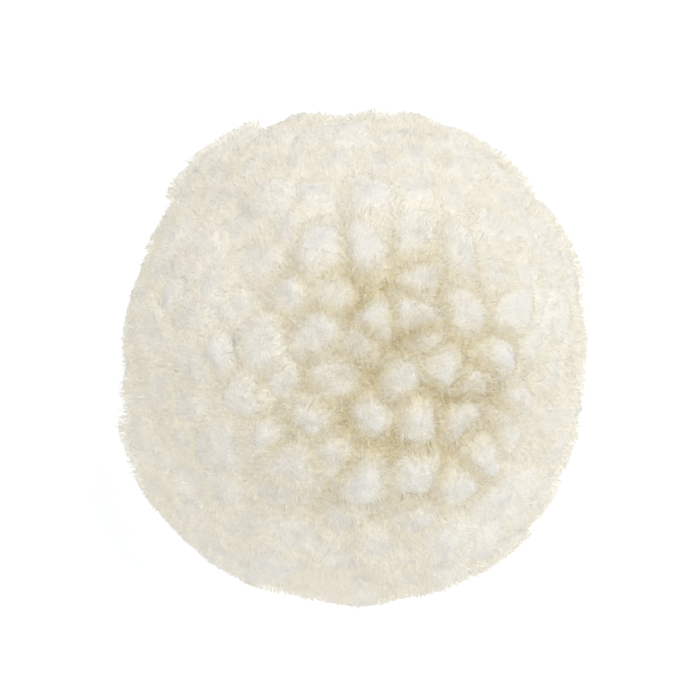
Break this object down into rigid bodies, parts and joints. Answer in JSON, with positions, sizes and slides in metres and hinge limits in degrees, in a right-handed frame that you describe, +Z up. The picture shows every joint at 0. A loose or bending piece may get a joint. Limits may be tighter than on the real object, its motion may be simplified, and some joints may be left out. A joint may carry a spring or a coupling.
{
  "type": "yarn pom pom",
  "caption": "Round trimmed pom pom of cream wool yarn: fluffy cut locks spring from a bound middle, with a small flat spot to rest on.",
  "frame": {"origin": "centre of the box around the ball, at its base on the surface", "axes": "+Z up from the flat spot, +Y along the ball's longest way across, +X along the shorter one"},
  "size_m": [0.0584, 0.062, 0.0576],
  "materials": {
    "wool_yarn": "soft matte cut wool yarn, cream in its depths and ivory at its tips"
  },
  "bodies": {
    "root": {"yarn_locks": "wool_yarn"}
  },
  "joints": []
}
